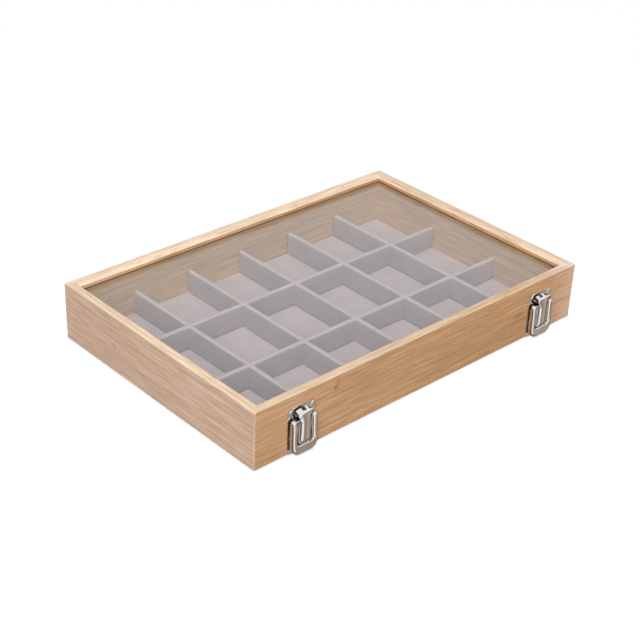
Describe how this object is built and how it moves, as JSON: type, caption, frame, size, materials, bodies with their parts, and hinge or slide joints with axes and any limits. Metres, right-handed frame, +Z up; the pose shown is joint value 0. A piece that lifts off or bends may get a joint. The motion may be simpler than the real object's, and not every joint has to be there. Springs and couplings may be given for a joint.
{
  "type": "glass-lidded jewelry tray",
  "caption": "Shallow bamboo jewelry tray with velvet-covered dividers, a hinged lid that frames a glass pane, and draw latches on the front.",
  "frame": {"origin": "centre of the underside, on the plane that the tray stands on", "axes": "+Z up; +X along the long side, to the right as seen from the front; +Y from the latches to the hinges"},
  "size_m": [0.35, 0.247, 0.05],
  "materials": {
    "bamboo": "clear satin lacquer on carbonised bamboo strip",
    "velvet": "short-pile grey velvet over board",
    "pane": "clear float glass",
    "latch_chrome": "bright chrome on pressed steel",
    "hinge_steel": "nickel-plated pressed steel"
  },
  "bodies": {
    "box": {"front_board": "bamboo", "right_board": "bamboo", "back_board": "bamboo", "left_board": "bamboo", "base_panel": "bamboo", "floor_lining": "velvet", "cross_divider_1": "velvet", "cross_divider_2": "velvet", "cross_divider_3": "velvet", "cross_divider_4": "velvet", "cross_divider_5": "velvet", "long_divider_front": "velvet", "long_divider_back": "velvet", "latch_base_left": "latch_chrome", "latch_base_right": "latch_chrome", "lever_pin_left": "latch_chrome", "lever_pin_right": "latch_chrome", "latch_base_nails": "latch_chrome", "hinge_box_leaf_left": "hinge_steel", "hinge_box_leaf_right": "hinge_steel", "hinge_pin_left": "hinge_steel", "hinge_pin_right": "hinge_steel", "hinge_box_screws": "hinge_steel"},
    "lid": {"lid_front_rail": "bamboo", "lid_right_rail": "bamboo", "lid_back_rail": "bamboo", "lid_left_rail": "bamboo", "glass_pane": "pane", "latch_catch_left": "latch_chrome", "latch_catch_right": "latch_chrome", "latch_catch_nails": "latch_chrome", "hinge_lid_leaf_left": "hinge_steel", "hinge_lid_leaf_right": "hinge_steel", "hinge_lid_screws": "hinge_steel"},
    "lever_left": {"latch_lever_left": "latch_chrome", "hook_pin_left": "latch_chrome"},
    "hook_left": {"draw_hook_left": "latch_chrome"},
    "lever_right": {"latch_lever_right": "latch_chrome", "hook_pin_right": "latch_chrome"},
    "hook_right": {"draw_hook_right": "latch_chrome"}
  },
  "joints": [
    {"name": "lid_hinge", "type": "hinge", "parent": "box", "child": "lid", "pos_m": [0, 0.1202, 0.025], "axis": [-1, 0, 0], "range_deg": [0, 180]},
    {"name": "lever_left_hinge", "type": "hinge", "parent": "box", "child": "lever_left", "pos_m": [-0.1313, -0.1215, 0.0282], "axis": [-1, 0, 0], "range_deg": [0, 90]},
    {"name": "hook_left_hinge", "type": "hinge", "parent": "lever_left", "child": "hook_left", "pos_m": [-0.1313, -0.1201, 0.0162], "axis": [-1, 0, 0], "range_deg": [-48, 0]},
    {"name": "lever_right_hinge", "type": "hinge", "parent": "box", "child": "lever_right", "pos_m": [0.1313, -0.1215, 0.0282], "axis": [-1, 0, 0], "range_deg": [0, 90]},
    {"name": "hook_right_hinge", "type": "hinge", "parent": "lever_right", "child": "hook_right", "pos_m": [0.1313, -0.1201, 0.0162], "axis": [-1, 0, 0], "range_deg": [-48, 0]}
  ],
  "couplings": [
    {"joint": "hook_left_hinge", "follows": "lever_left_hinge", "ratio": -0.52},
    {"joint": "hook_right_hinge", "follows": "lever_right_hinge", "ratio": -0.52}
  ]
}
